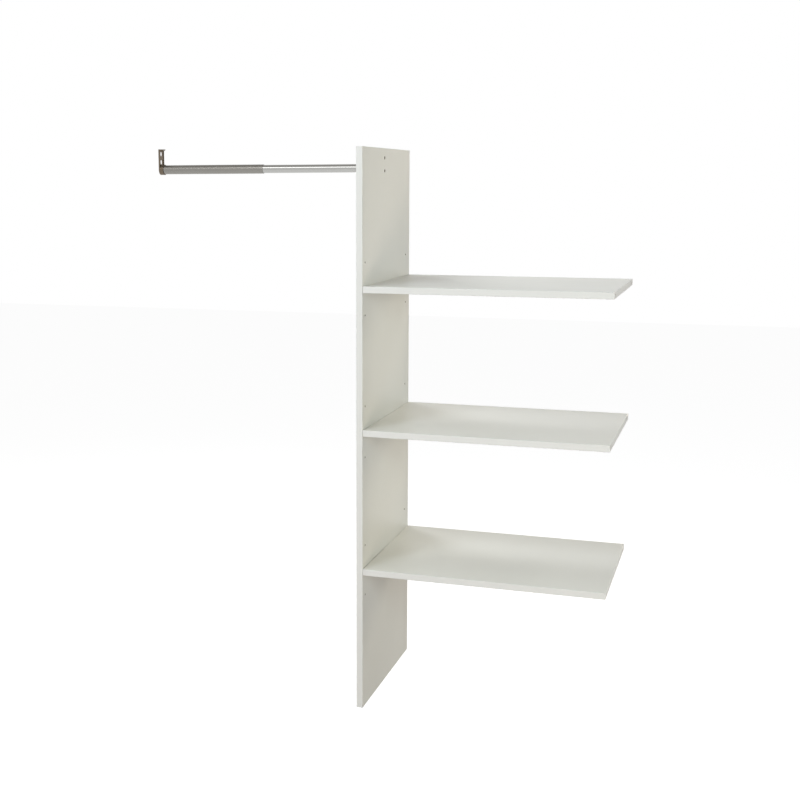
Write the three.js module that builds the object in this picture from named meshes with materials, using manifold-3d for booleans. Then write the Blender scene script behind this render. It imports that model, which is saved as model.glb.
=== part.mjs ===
// Wall mounted closet system: an upright partition board carries three shelves on its right face
// and a telescopic clothes rail on its left face, and steel angles hold it to the wall.
// Millimetres. +X runs along the shelves, +Y points to the wall, +Z is up.
// The origin is the middle of the partition's back edge, in the plane of the wall.
import * as THREE from "three";
import { mergeVertices } from "three/addons/utils/BufferGeometryUtils.js";
import Module from "manifold-3d";

const wasm = await Module();
wasm.setup();

// Fits
const seatGap = 0.3; // round a piece that sits in a hole, a pocket or a cup
const slideGap = 0.25; // between the two tubes of the rail
const cutOverrun = 1; // how far a cutting shape passes the face that it opens

// Boards
const boardThickness = 16;
const boardDepth = 425; // from the wall to the front edge, partition and shelves alike
const partitionHeight = 1400;
const shelfLength = 595;
const bandThickness = 1; // plastic strip glued to every edge
const shelfNames = ["lower_shelf", "middle_shelf", "upper_shelf"];
const lowestShelfHeight = 356; // middle of the lowest shelf above the foot of the partition

// Rows of blind holes in the partition, on the furniture maker's hole pitch
const holePitch = 32;
const stepsPerShelf = 11; // hole pitches from one shelf to the next
const stepsPerRow = 2; // hole pitches from a shelf's own row to the spare row above or below
const spareRows = [-1, 0, 1]; // which rows each shelf has: below it, behind it, above it
const systemHoleRadius = 2.5;
const systemHoleDepth = 12;
const frontHoleSetback = 22; // from the front edge to the front column of holes
const backHoleSetback = 37; // from the back edge to the back column of holes

// Bolt that screws into the partition and is gripped by a cam inside the shelf
const boltHeadRadius = 3.5;
const boltHeadLength = 2.4;
const boltHeadChamfer = 0.8;
const boltNeckRadius = 1.7;
const boltNeckLength = 4.6;
const boltShankRadius = 2.8;
const boltCollarRadius = 3.6;
const boltCollarLength = 1.2;
const boltTipChamfer = 0.9;
const boltTipRoom = 1; // left free at the bottom of the hole

// Cam and the bores that it needs in the shelf
const camSetback = 34; // from the end of the shelf to the cam's axis
const camWrap = 3.7; // how much further out than the bolt's head the cam reaches
const camWallLocked = 1.7; // wall that the head bears on when the cam is locked
const camWallOpen = 1.1; // wall at the open end of the spiral
const camTurn = THREE.MathUtils.degToRad(150); // from locked to open
const camRoof = 1; // room over the bolt's head
const camSlotWidth = 1.3; // of the cross for the screwdriver
const camSlotLength = 9.5;
const camSlotDepth = 2;
const endBoreClearance = 0.5; // round the bolt's head, as it goes in

// Clothes rail
const railBelowTop = 49; // from the top of the partition down to the rail's axis
const railSetback = 189; // from the front edge to the rail's axis
const railSpan = 606; // from the partition's left face to the outside of the far bracket
const outerTubeRadius = 11.75;
const tubeWall = 1;
const outerTubeLength = 293;
const tubeOverlap = 120; // how much of the inner tube is inside the outer one
const glideHeadLength = 5;
const glideSpigotLength = 16;

// Pressed steel of both rail brackets
const sheetThickness = 2;
const cupWall = 1.5;
const cupLength = 10;
const slotWidth = 10;
const slotLength = 12.5;
const slotPitch = 21;
const slotMargin = 0.3; // from the cup to the lowest slot
const bracketTopMargin = 6; // from the highest slot to the top of the bracket
const bracketRimDepth = 1.4; // turned up edge along both long sides
const lipLength = 11; // tongue at the top, measured from the plate
const lipRootThickness = 4.4; // pressed deep where it meets the plate
const lipTipThickness = 1.4;
const lipTipShare = 0.25; // width of the tongue's tip, of the plate's width
const socketTopMargin = 10; // from the upper screw to the top of the socket's plate

// Screws and sleeve nuts that clamp the socket to the partition
const railScrewHeadRadius = 3.6;
const railScrewHeadHeight = 2.2;
const railScrewShankRadius = 1.9;
const railScrewReach = 11; // of the shank, inside the board
const sleeveNutWall = 1.6;
const sleeveNutRecess = 2.2; // below the right face of the partition
const sleeveNutEnd = 2; // closed end, with the screwdriver slot
const driverSlotWidth = 1.1;
const driverSlotDepth = 0.9;

// Angles that hold the partition to the wall
const angleLeg = 32;
const angleHeight = 26;
const angleThickness = 2;
const angleBendRadius = 1.5; // inside the bend
const angleHoleRadius = 2.6;
const angleHoleSetback = 11; // from the bend's outside to the first hole
const angleHoleSpacing = 12;
const angleInset = 90; // from the ends of the partition to the upper and lower angle
const angleScrewHeadRadius = 4.2;
const angleScrewHeadHeight = 2;
const angleScrewShankRadius = 1.7;
const angleScrewShare = 0.72; // depth of the screw in the board, of the board's thickness

// How finely round forms are cut into flats
const tubeSides = 40;
const camSides = 28;
const boreSides = 16;
const holeSides = 12;
const screwSides = 12;
const arcSteps = 8;

// Places that follow from the sizes
const rightFace = boardThickness / 2;
const leftFace = -boardThickness / 2;
const foot = -partitionHeight / 2;
const top = partitionHeight / 2;
const front = -boardDepth;
const shelfPitch = stepsPerShelf * holePitch;
const rowPitch = stepsPerRow * holePitch;
const columns = [front + frontHoleSetback, -backHoleSetback];
const endBoreRadius = boltHeadRadius + endBoreClearance;
const camRadius = boltHeadRadius + camWrap;
const camPocketRadius = camRadius + seatGap;
const camPocketDepth = boardThickness / 2 + boltHeadRadius + camRoof;
const camHeight = camPocketDepth - seatGap;
const camWallInside = camRadius - camWallLocked;
const boltSeat = Math.sqrt((camWallInside - seatGap) ** 2 - boltHeadRadius ** 2);
const innerTubeRadius = outerTubeRadius - tubeWall - slideGap;
const railHeight = top - railBelowTop;
const railDepth = front + railSetback;
const socketCupInside = innerTubeRadius + seatGap;
const socketHoleBelow = socketCupInside - railScrewHeadRadius - seatGap;
const socketHoleAbove = holePitch - socketHoleBelow;
const sleeveNutRadius = railScrewShankRadius + seatGap + sleeveNutWall;
const sleeveHoleRadius = sleeveNutRadius + seatGap;
const angleScrewDepth = angleScrewShare * boardThickness;
const angleHeights = [foot + angleInset, 0, top - angleInset];
const angleHoleShifts = [angleHoleSetback, angleHoleSetback + angleHoleSpacing];

// Three exact changes of axis: a lathe's or cylinder's own axis is Y, an extrusion's is Z
const turnedAxisToX = new THREE.Matrix4().set(0, 1, 0, 0, 0, 0, 1, 0, 1, 0, 0, 0, 0, 0, 0, 1);
const turnedAxisToZ = new THREE.Matrix4().set(0, 0, 1, 0, 1, 0, 0, 0, 0, 1, 0, 0, 0, 0, 0, 1);
const extrudedAlongX = turnedAxisToZ;

// A closed three.js geometry as a solid that can be cut and joined.
function solid(geometry) {
  const bare = geometry.clone();
  bare.deleteAttribute("normal");
  bare.deleteAttribute("uv");
  const merged = mergeVertices(bare);
  return new wasm.Manifold(
    new wasm.Mesh({
      numProp: 3,
      vertProperties: merged.attributes.position.array,
      triVerts: Uint32Array.from(merged.index.array),
    }),
  );
}

// A solid back as a three.js geometry, with a flat normal on every facet.
function geometryOf(body) {
  const mesh = body.getMesh();
  const indexed = new THREE.BufferGeometry();
  indexed.setAttribute("position", new THREE.BufferAttribute(mesh.vertProperties, mesh.numProp));
  indexed.setIndex(new THREE.BufferAttribute(mesh.triVerts, 1));
  const faceted = indexed.toNonIndexed();
  faceted.computeVertexNormals();
  return faceted;
}

// A block between two values on each axis.
function block([x0, x1], [y0, y1], [z0, z1]) {
  const geometry = new THREE.BoxGeometry(x1 - x0, y1 - y0, z1 - z0);
  geometry.translate((x0 + x1) / 2, (y0 + y1) / 2, (z0 + z1) / 2);
  return geometry;
}

// Round pegs from one value to another along X, Y or Z, with their place on the other two axes.
function pegAlongX(radius, x0, x1, y, z, sides) {
  const geometry = new THREE.CylinderGeometry(radius, radius, x1 - x0, sides);
  geometry.applyMatrix4(turnedAxisToX);
  geometry.translate((x0 + x1) / 2, y, z);
  return geometry;
}

function pegAlongY(radius, y0, y1, x, z, sides) {
  const geometry = new THREE.CylinderGeometry(radius, radius, y1 - y0, sides);
  geometry.translate(x, (y0 + y1) / 2, z);
  return geometry;
}

function pegAlongZ(radius, z0, z1, x, y, sides) {
  const geometry = new THREE.CylinderGeometry(radius, radius, z1 - z0, sides);
  geometry.applyMatrix4(turnedAxisToZ);
  geometry.translate(x, y, (z0 + z1) / 2);
  return geometry;
}

// A turned piece whose axis is X, from pairs of a radius and a place along the axis.
function turned(profile, sides) {
  const points = profile.map(([radius, along]) => new THREE.Vector2(radius, along));
  const geometry = new THREE.LatheGeometry(points, sides);
  geometry.applyMatrix4(turnedAxisToX);
  return geometry;
}

// A flat shape given thickness along its own normal.
function plate(shape, thickness, curveSegments) {
  return new THREE.ExtrudeGeometry(shape, { depth: thickness, bevelEnabled: false, curveSegments });
}

function cutAll(body, cutters) {
  return cutters.reduce((left, cutter) => left.subtract(solid(cutter)), body);
}

function joinAll(geometries) {
  return geometries.map(solid).reduce((sum, next) => sum.add(next));
}

// Finishes
const whiteBoard = { color: 0xe4e4df, roughness: 0.45, metalness: 0 };
const whiteBand = { color: 0xecece8, roughness: 0.4, metalness: 0 };
const chromedTube = { color: 0xc9c9c6, roughness: 0.12, metalness: 1 };
const satinTube = { color: 0x9b9a95, roughness: 0.35, metalness: 1 };
const bronzedSteel = { color: 0x75695b, roughness: 0.4, metalness: 0.9 };
const zincDieCast = { color: 0xb4b3ad, roughness: 0.5, metalness: 0.9 };
const zincPlated = { color: 0xbdbcb4, roughness: 0.3, metalness: 1 };
const blackPlastic = { color: 0x2a2a2a, roughness: 0.6, metalness: 0 };

function piece(name, geometry, finish) {
  const mesh = new THREE.Mesh(geometry, new THREE.MeshStandardMaterial(finish));
  mesh.name = name;
  return mesh;
}

// Partition: a board with an edge band on all four edges
const shelfHeights = shelfNames.map((name, index) => foot + lowestShelfHeight + index * shelfPitch);

function partitionBoard() {
  const width = [leftFace, rightFace];
  const depth = [front + bandThickness, -bandThickness];
  const height = [foot + bandThickness, top - bandThickness];
  const cutters = [];
  for (const shelfHeight of shelfHeights) {
    for (const row of spareRows) {
      for (const column of columns) {
        const z = shelfHeight + row * rowPitch;
        const open = rightFace + cutOverrun;
        cutters.push(
          pegAlongX(systemHoleRadius, rightFace - systemHoleDepth, open, column, z, holeSides),
        );
      }
    }
  }
  for (const z of [railHeight + socketHoleAbove, railHeight - socketHoleBelow]) {
    const start = leftFace - cutOverrun;
    const end = rightFace + cutOverrun;
    cutters.push(pegAlongX(sleeveHoleRadius, start, end, railDepth, z, boreSides));
  }
  const pilotRadius = angleScrewShankRadius + seatGap;
  for (const z of angleHeights) {
    for (const shift of angleHoleShifts) {
      const start = leftFace - cutOverrun;
      const end = leftFace + angleScrewDepth + seatGap;
      cutters.push(pegAlongX(pilotRadius, start, end, -shift, z, holeSides));
    }
  }
  return geometryOf(cutAll(solid(block(width, depth, height)), cutters));
}

function partition() {
  const group = new THREE.Group();
  const width = [leftFace, rightFace];
  const between = [front + bandThickness, -bandThickness];
  const bands = {
    partition_front_band: block(width, [front, front + bandThickness], [foot, top]),
    partition_back_band: block(width, [-bandThickness, 0], [foot, top]),
    partition_top_band: block(width, between, [top - bandThickness, top]),
    partition_foot_band: block(width, between, [foot, foot + bandThickness]),
  };
  group.add(piece("partition_board", partitionBoard(), whiteBoard));
  for (const [name, geometry] of Object.entries(bands)) {
    group.add(piece(name, geometry, whiteBand));
  }
  return group;
}

// Shelf, in its own frame: x from its fixed end, z from its middle
const shelfUnderside = -boardThickness / 2;
const shelfTop = boardThickness / 2;

function endBores() {
  return columns.flatMap((column) => [
    pegAlongX(endBoreRadius, -cutOverrun, camSetback, column, 0, boreSides),
    pegAlongX(
      endBoreRadius,
      shelfLength - camSetback,
      shelfLength + cutOverrun,
      column,
      0,
      boreSides,
    ),
  ]);
}

function camPockets() {
  const z0 = shelfUnderside - cutOverrun;
  const z1 = shelfUnderside + camPocketDepth;
  return [camSetback, shelfLength - camSetback].flatMap((x) =>
    columns.map((column) => pegAlongZ(camPocketRadius, z0, z1, x, column, camSides)),
  );
}

const shelfBody = solid(
  block(
    [bandThickness, shelfLength - bandThickness],
    [front + bandThickness, -bandThickness],
    [shelfUnderside, shelfTop],
  ),
);
const shelfBoardGeometry = geometryOf(cutAll(shelfBody, [...endBores(), ...camPockets()]));

function shelfEndBand(x0, x1) {
  const strip = block([x0, x1], [front + bandThickness, -bandThickness], [shelfUnderside, shelfTop]);
  return geometryOf(cutAll(solid(strip), endBores()));
}

// Outline of the hollow in a cam: a spiral that draws the bolt's head in as the cam turns,
// closed by a quick return over the rest of the circle.
function spiralHollow() {
  const steps = camSides;
  const outline = [];
  for (let step = 0; step < steps; step += 1) {
    const angle = (2 * Math.PI * step) / steps;
    const turnedShare = Math.min(angle / camTurn, (2 * Math.PI - angle) / (2 * Math.PI - camTurn));
    const wall = THREE.MathUtils.lerp(camWallLocked, camWallOpen, turnedShare);
    const radius = camRadius - wall;
    outline.push(new THREE.Vector2(radius * Math.cos(-angle), radius * Math.sin(-angle)));
  }
  return new THREE.Shape(outline.reverse());
}

// Sector that lets the bolt's neck through the cam's wall from locked to open.
function neckSector() {
  const margin = Math.asin((boltNeckRadius + seatGap) / camWallInside);
  const reach = 2 * camRadius;
  const sector = new THREE.Shape();
  sector.moveTo(0, 0);
  sector.absarc(0, 0, reach, -camTurn - margin, margin, false);
  sector.lineTo(0, 0);
  return sector;
}

// Cam, with its visible face at z = 0 and its bolt along +X when it is locked.
function camGeometry() {
  const axisHeight = boardThickness / 2;
  const hollowFloor = axisHeight - boltHeadRadius - seatGap;
  const slotFloor = axisHeight - boltNeckRadius - seatGap;
  const over = camHeight + cutOverrun;
  const hollow = plate(spiralHollow(), over - hollowFloor, camSides);
  hollow.translate(0, 0, hollowFloor);
  const neckWay = plate(neckSector(), over - slotFloor, camSides);
  neckWay.translate(0, 0, slotFloor);
  const halfMouth = boltHeadRadius + seatGap;
  const mouth = block([0, camRadius + cutOverrun], [-halfMouth, halfMouth], [hollowFloor, over]);
  mouth.rotateZ(-camTurn);
  const long = camSlotLength / 2;
  const narrow = camSlotWidth / 2;
  const deep = [-cutOverrun, camSlotDepth];
  const slotAlongX = block([-long, long], [-narrow, narrow], deep);
  const slotAlongY = block([-narrow, narrow], [-long, long], deep);
  const drum = solid(pegAlongZ(camRadius, 0, camHeight, 0, 0, camSides));
  return geometryOf(cutAll(drum, [hollow, neckWay, mouth, slotAlongX, slotAlongY]));
}

const sharedCam = camGeometry();

function cam(name, x, y, angle) {
  const mesh = piece(name, sharedCam, zincDieCast);
  mesh.position.set(x, y, shelfUnderside);
  mesh.rotation.z = angle;
  return mesh;
}

// Bolt along +X, with its collar's back on the partition at x = 0 and its tip in the board.
function boltGeometry() {
  const tip = -(systemHoleDepth - boltTipRoom);
  const threadRadius = systemHoleRadius - seatGap;
  const headBack = camSetback - boltSeat;
  const neckStart = headBack - boltNeckLength;
  const headFront = headBack + boltHeadLength;
  return turned(
    [
      [0, tip],
      [threadRadius - boltTipChamfer, tip],
      [threadRadius, tip + boltTipChamfer],
      [threadRadius, 0],
      [boltCollarRadius, 0],
      [boltCollarRadius, boltCollarLength],
      [boltShankRadius, boltCollarLength],
      [boltShankRadius, neckStart],
      [boltNeckRadius, neckStart],
      [boltNeckRadius, headBack],
      [boltHeadRadius, headBack],
      [boltHeadRadius, headFront - boltHeadChamfer],
      [boltHeadRadius - boltHeadChamfer, headFront],
      [0, headFront],
    ],
    screwSides,
  );
}

const sharedBolt = boltGeometry();

function bolt(name, y) {
  const mesh = piece(name, sharedBolt, zincPlated);
  mesh.position.y = y;
  return mesh;
}

function shelf(name) {
  const group = new THREE.Group();
  const thick = [shelfUnderside, shelfTop];
  const whole = [0, shelfLength];
  group.add(piece(name + "_board", shelfBoardGeometry, whiteBoard));
  group.add(
    piece(name + "_front_band", block(whole, [front, front + bandThickness], thick), whiteBand),
  );
  group.add(piece(name + "_back_band", block(whole, [-bandThickness, 0], thick), whiteBand));
  group.add(piece(name + "_fixed_end_band", shelfEndBand(0, bandThickness), whiteBand));
  group.add(
    piece(
      name + "_free_end_band",
      shelfEndBand(shelfLength - bandThickness, shelfLength),
      whiteBand,
    ),
  );
  const [frontColumn, backColumn] = columns;
  const farEnd = shelfLength - camSetback;
  group.add(cam(name + "_fixed_front_cam", camSetback, frontColumn, Math.PI));
  group.add(cam(name + "_fixed_back_cam", camSetback, backColumn, Math.PI));
  group.add(cam(name + "_free_front_cam", farEnd, frontColumn, camTurn));
  group.add(cam(name + "_free_back_cam", farEnd, backColumn, camTurn));
  group.add(bolt(name + "_front_bolt", frontColumn));
  group.add(bolt(name + "_back_bolt", backColumn));
  return group;
}

// Rail, in its own frame: the axis is y = z = 0 and x runs down from the partition's left face
function cupRadius(tubeRadius) {
  return tubeRadius + seatGap + cupWall;
}

// A round cup for a tube's end, from one value to another along X.
function cup(tubeRadius, x0, x1) {
  const inside = tubeRadius + seatGap;
  const outside = cupRadius(tubeRadius);
  return turned(
    [
      [inside, x0],
      [outside, x0],
      [outside, x1],
      [inside, x1],
      [inside, x0],
    ],
    tubeSides,
  );
}

// A plate in the plane of Y and Z: round below, round the rail's axis, and square above.
function bracketOutline(radius, height, cornerRadius) {
  const outline = new THREE.Shape();
  outline.moveTo(radius, 0);
  outline.lineTo(radius, height - cornerRadius);
  outline.absarc(radius - cornerRadius, height - cornerRadius, cornerRadius, 0, Math.PI / 2, false);
  outline.lineTo(cornerRadius - radius, height);
  outline.absarc(
    cornerRadius - radius,
    height - cornerRadius,
    cornerRadius,
    Math.PI / 2,
    Math.PI,
    false,
  );
  outline.lineTo(-radius, 0);
  outline.absarc(0, 0, radius, Math.PI, 2 * Math.PI, false);
  return outline;
}

function upright(shape, x0, x1, curveSegments) {
  const geometry = plate(shape, x1 - x0, curveSegments);
  geometry.applyMatrix4(extrudedAlongX);
  geometry.translate(x0, 0, 0);
  return geometry;
}

function slotShape(middle) {
  const end = slotWidth / 2;
  const straight = slotLength / 2 - end;
  const slot = new THREE.Shape();
  slot.moveTo(end, middle - straight);
  slot.lineTo(end, middle + straight);
  slot.absarc(0, middle + straight, end, 0, Math.PI, false);
  slot.lineTo(-end, middle - straight);
  slot.absarc(0, middle - straight, end, Math.PI, 2 * Math.PI, false);
  return slot;
}

// Far bracket: a slotted pressed plate with turned up sides, a pointed tongue and the tube's cup
const bracketRadius = cupRadius(outerTubeRadius);
const lowSlot = bracketRadius + slotMargin + slotLength / 2;
const highSlot = lowSlot + slotPitch;
const bracketTop = highSlot + slotLength / 2 + bracketTopMargin;

// Tongue that grows narrower and thinner from the plate and its rims to the tip
function bracketTongue(outside, rimEnd, tip) {
  const halfTip = lipTipShare * bracketRadius;
  const sections = [
    [outside, bracketRadius, lipRootThickness],
    [rimEnd, bracketRadius, lipRootThickness],
    [tip, halfTip, lipTipThickness],
  ];
  const corners = sections.flatMap(([x, half, thickness]) =>
    [-half, half].flatMap((y) => [
      [x, y, bracketTop],
      [x, y, bracketTop - thickness],
    ]),
  );
  return wasm.Manifold.hull(corners);
}

function farBracket() {
  const outside = -railSpan;
  const inside = outside + sheetThickness;
  const rimEnd = inside + bracketRimDepth;
  const rims = [-1, 1].map((side) => {
    const edge = side * bracketRadius;
    const inner = side * (bracketRadius - sheetThickness);
    return block([inside, rimEnd], [Math.min(edge, inner), Math.max(edge, inner)], [0, bracketTop]);
  });
  const body = joinAll([
    upright(bracketOutline(bracketRadius, bracketTop, sheetThickness), outside, inside, tubeSides / 4),
    cup(outerTubeRadius, inside - sheetThickness / 2, inside + cupLength),
    ...rims,
  ]).add(bracketTongue(outside, rimEnd, inside + lipLength));
  const bore = outerTubeRadius + seatGap;
  const cutters = [
    pegAlongX(bore, inside, inside + cupLength + cutOverrun, 0, 0, tubeSides),
    ...[lowSlot, highSlot].map((middle) =>
      upright(slotShape(middle), outside - cutOverrun, inside + cutOverrun, arcSteps),
    ),
  ];
  return piece("far_rail_bracket", geometryOf(cutAll(body, cutters)), bronzedSteel);
}

// Socket on the partition: a plate with the inner tube's cup and two screw holes
function partitionSocket() {
  const inside = -sheetThickness;
  const radius = cupRadius(innerTubeRadius);
  const height = socketHoleAbove + socketTopMargin;
  const body = joinAll([
    upright(bracketOutline(radius, height, radius / 2), inside, 0, tubeSides / 4),
    cup(innerTubeRadius, inside - cupLength, inside + sheetThickness / 2),
  ]);
  const holeRadius = railScrewShankRadius + seatGap;
  const cutters = [
    pegAlongX(socketCupInside, inside - cupLength - cutOverrun, inside, 0, 0, tubeSides),
    ...[socketHoleAbove, -socketHoleBelow].map((z) =>
      pegAlongX(holeRadius, inside - cutOverrun, cutOverrun, 0, z, boreSides),
    ),
  ];
  return piece("partition_rail_socket", geometryOf(cutAll(body, cutters)), bronzedSteel);
}

function tube(name, radius, x0, x1, finish) {
  const bore = radius - tubeWall;
  const geometry = turned(
    [
      [bore, x0],
      [radius, x0],
      [radius, x1],
      [bore, x1],
      [bore, x0],
    ],
    tubeSides,
  );
  return piece(name, geometry, finish);
}

const outerTubeStart = -railSpan + sheetThickness + seatGap;
const outerTubeMouth = outerTubeStart + outerTubeLength;
const innerTubeStart = outerTubeMouth - tubeOverlap;
const innerTubeEnd = -sheetThickness - railScrewHeadHeight - seatGap;

// Plastic plug that guides the hidden end of the inner tube inside the outer one.
function glide() {
  const spigot = innerTubeRadius - tubeWall - seatGap;
  const geometry = turned(
    [
      [0, innerTubeStart - glideHeadLength],
      [innerTubeRadius, innerTubeStart - glideHeadLength],
      [innerTubeRadius, innerTubeStart],
      [spigot, innerTubeStart],
      [spigot, innerTubeStart + glideSpigotLength],
      [0, innerTubeStart + glideSpigotLength],
    ],
    tubeSides,
  );
  return piece("rail_glide", geometry, blackPlastic);
}

// Screw along +X, with the underside of its head at x = 0.
function screw(headRadius, headHeight, shankRadius, length) {
  return turned(
    [
      [0, -headHeight],
      [headRadius / 2, -headHeight],
      [headRadius, -headHeight / 2],
      [headRadius, 0],
      [shankRadius, 0],
      [shankRadius, length - shankRadius],
      [0, length],
    ],
    screwSides,
  );
}

// The two screws of the socket and the nuts that they run into, at their heights on the axis
const socketFixings = [
  ["upper", socketHoleAbove],
  ["lower", -socketHoleBelow],
];

function socketScrew(name, z) {
  const length = sheetThickness + railScrewReach;
  const geometry = screw(railScrewHeadRadius, railScrewHeadHeight, railScrewShankRadius, length);
  const mesh = piece(name, geometry, zincPlated);
  mesh.position.set(-sheetThickness, 0, z);
  return mesh;
}

function sleeveNut(name, z) {
  const bore = railScrewShankRadius + seatGap;
  const start = seatGap;
  const end = boardThickness - sleeveNutRecess;
  const barrel = turned(
    [
      [bore, start],
      [sleeveNutRadius, start],
      [sleeveNutRadius, end],
      [0, end],
      [0, end - sleeveNutEnd],
      [bore, end - sleeveNutEnd],
      [bore, start],
    ],
    screwSides,
  );
  const half = driverSlotWidth / 2;
  const across = [-sleeveNutRadius - cutOverrun, sleeveNutRadius + cutOverrun];
  const slot = block([end - driverSlotDepth, end + cutOverrun], [-half, half], across);
  const mesh = piece(name, geometryOf(cutAll(solid(barrel), [slot])), zincPlated);
  mesh.position.z = z;
  return mesh;
}

function rail() {
  const group = new THREE.Group();
  group.position.set(leftFace, railDepth, railHeight);
  group.add(farBracket());
  group.add(tube("rail_outer_tube", outerTubeRadius, outerTubeStart, outerTubeMouth, satinTube));
  group.add(tube("rail_inner_tube", innerTubeRadius, innerTubeStart, innerTubeEnd, chromedTube));
  group.add(glide());
  group.add(partitionSocket());
  for (const [name, z] of socketFixings) {
    group.add(socketScrew("socket_" + name + "_screw", z));
    group.add(sleeveNut("socket_" + name + "_sleeve_nut", z));
  }
  return group;
}

// Wall angle, in its own frame: x = 0 is the partition's left face, y = 0 the wall
function wallAngle(name) {
  const inner = angleThickness + angleBendRadius;
  const outline = new THREE.Shape();
  outline.moveTo(0, -angleLeg);
  outline.lineTo(0, -inner);
  outline.absarc(-inner, -inner, inner, 0, Math.PI / 2, false);
  outline.lineTo(-angleLeg, 0);
  outline.lineTo(-angleLeg, -angleThickness);
  outline.lineTo(-inner, -angleThickness);
  outline.absarc(-inner, -inner, angleBendRadius, Math.PI / 2, 0, true);
  outline.lineTo(-angleThickness, -angleLeg);
  outline.closePath();
  const body = plate(outline, angleHeight, arcSteps / 2);
  body.translate(0, 0, -angleHeight / 2);
  const start = -angleThickness - cutOverrun;
  const cutters = angleHoleShifts.flatMap((shift) => [
    pegAlongX(angleHoleRadius, start, cutOverrun, -shift, 0, boreSides),
    pegAlongY(angleHoleRadius, start, cutOverrun, -shift, 0, boreSides),
  ]);
  return piece(name, geometryOf(cutAll(solid(body), cutters)), zincPlated);
}

function angleScrew(name, shift) {
  const length = angleThickness + angleScrewDepth;
  const geometry = screw(angleScrewHeadRadius, angleScrewHeadHeight, angleScrewShankRadius, length);
  const mesh = piece(name, geometry, zincPlated);
  mesh.position.set(-angleThickness, -shift, 0);
  return mesh;
}

const closet = new THREE.Group();
closet.name = "wall_mounted_closet_system";
closet.add(partition());
shelfNames.forEach((name, index) => {
  const group = shelf(name);
  group.position.set(rightFace, 0, shelfHeights[index]);
  closet.add(group);
});
closet.add(rail());
["lower", "middle", "upper"].forEach((place, index) => {
  const group = new THREE.Group();
  group.position.set(leftFace, 0, angleHeights[index]);
  group.add(wallAngle(place + "_wall_angle"));
  const [nearShift, farShift] = angleHoleShifts;
  group.add(angleScrew(place + "_angle_back_screw", nearShift));
  group.add(angleScrew(place + "_angle_front_screw", farShift));
  closet.add(group);
});

export default closet;
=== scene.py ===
"""Looks of a wall mounted closet system: a partition board with three shelves and a clothes rail.

Every size is in metres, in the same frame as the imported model: +X runs along the shelves, +Y points
to the wall and +Z is up, from the middle of the partition's back edge.
"""

import math

import bmesh
import bpy
from mathutils import Matrix, Vector


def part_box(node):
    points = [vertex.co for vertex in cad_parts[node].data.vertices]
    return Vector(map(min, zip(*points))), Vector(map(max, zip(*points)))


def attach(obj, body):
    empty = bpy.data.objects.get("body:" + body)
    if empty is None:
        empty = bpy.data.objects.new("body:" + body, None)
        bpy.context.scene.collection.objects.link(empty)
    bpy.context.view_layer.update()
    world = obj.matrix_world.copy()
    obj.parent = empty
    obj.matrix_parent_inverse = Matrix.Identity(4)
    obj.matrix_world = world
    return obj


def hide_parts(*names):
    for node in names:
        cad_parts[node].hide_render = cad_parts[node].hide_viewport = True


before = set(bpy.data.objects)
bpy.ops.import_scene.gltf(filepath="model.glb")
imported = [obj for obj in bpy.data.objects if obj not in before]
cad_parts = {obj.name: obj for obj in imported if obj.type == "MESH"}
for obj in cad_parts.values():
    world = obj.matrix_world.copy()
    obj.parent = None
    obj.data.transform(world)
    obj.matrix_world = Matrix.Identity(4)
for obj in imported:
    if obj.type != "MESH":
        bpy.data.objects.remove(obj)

bl_info = {
    "name": "Wall mounted closet system",
    "version": (1, 0, 0),
    "blender": (4, 5, 0),
    "location": "3D View > Sidebar > Closet",
    "description": "Finishes the boards, the rail and the fittings of a closet system",
    "category": "Object",
}

MM = 0.001
X, Y, Z = range(3)
SHELVES = ("lower_shelf", "middle_shelf", "upper_shelf")
ANGLES = ("lower", "middle", "upper")
SIDES = ("front", "back")
ENDS = ("fixed", "free")
SOCKET_PLACES = ("upper", "lower")
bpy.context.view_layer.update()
ROOT_BODY = "closet_frame"
RAIL_BODY = "rail_slider"
OVERRUN = 1 * MM  # how far a cutting form passes the face that it opens


# Settings that a user would change


def colour(name, description, default):
    return bpy.props.FloatVectorProperty(
        name=name, description=description, subtype="COLOR", size=3, min=0, max=1, default=default
    )


def length(name, description, default):
    return bpy.props.FloatProperty(
        name=name, description=description, unit="LENGTH", min=0, default=default, precision=5
    )


def number(name, description, default, unit="NONE"):
    return bpy.props.FloatProperty(
        name=name, description=description, unit=unit, min=0, default=default
    )


def count(name, description, default):
    return bpy.props.IntProperty(name=name, description=description, min=3, default=default)


class ClosetBoardSettings(bpy.types.PropertyGroup):
    """Boards and their edge bands."""

    facing: colour("Facing", "Melamine on both faces of each board", (0.79, 0.79, 0.75))
    banding: colour("Edge band", "Plastic strip on the boards' edges", (0.82, 0.82, 0.79))
    core: colour("Core", "Chipboard inside the drilled holes", (0.22, 0.155, 0.095))
    arris: length("Arris radius", "Rounding of the edge bands' outer corners", 0.9 * MM)
    joint: length("Joint chamfer", "Tiny chamfer where a board meets its edge band", 0.12 * MM)
    seam: length("Seam", "Open joint between a shelf's bands and the partition", 0.7 * MM)
    rim: length("Hole rim", "Chamfer that the drill leaves in the facing", 0.1 * MM)
    hole_radius: length("System hole radius", "Radius of the blind holes", 2.5 * MM)
    hole_depth: length("System hole depth", "Depth of the blind holes", 12 * MM)
    row_pitch: length("Row pitch", "From a shelf's bolts to the spare holes above or below", 64 * MM)
    bore_radius: length("End bore radius", "Radius of the bores in the shelves' ends", 4 * MM)
    pilot_radius: length("Pilot radius", "Radius of the wall angles' screw pilots", 2 * MM)
    fit: length("Fit", "Room round a fitting in its hole", 0.3 * MM)
    hole_sides: count("Hole sides", "Facets round a drilled hole", 32)
    pearl: length("Pearl height", "Height of the facing's fine texture", 0.02 * MM)


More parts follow.
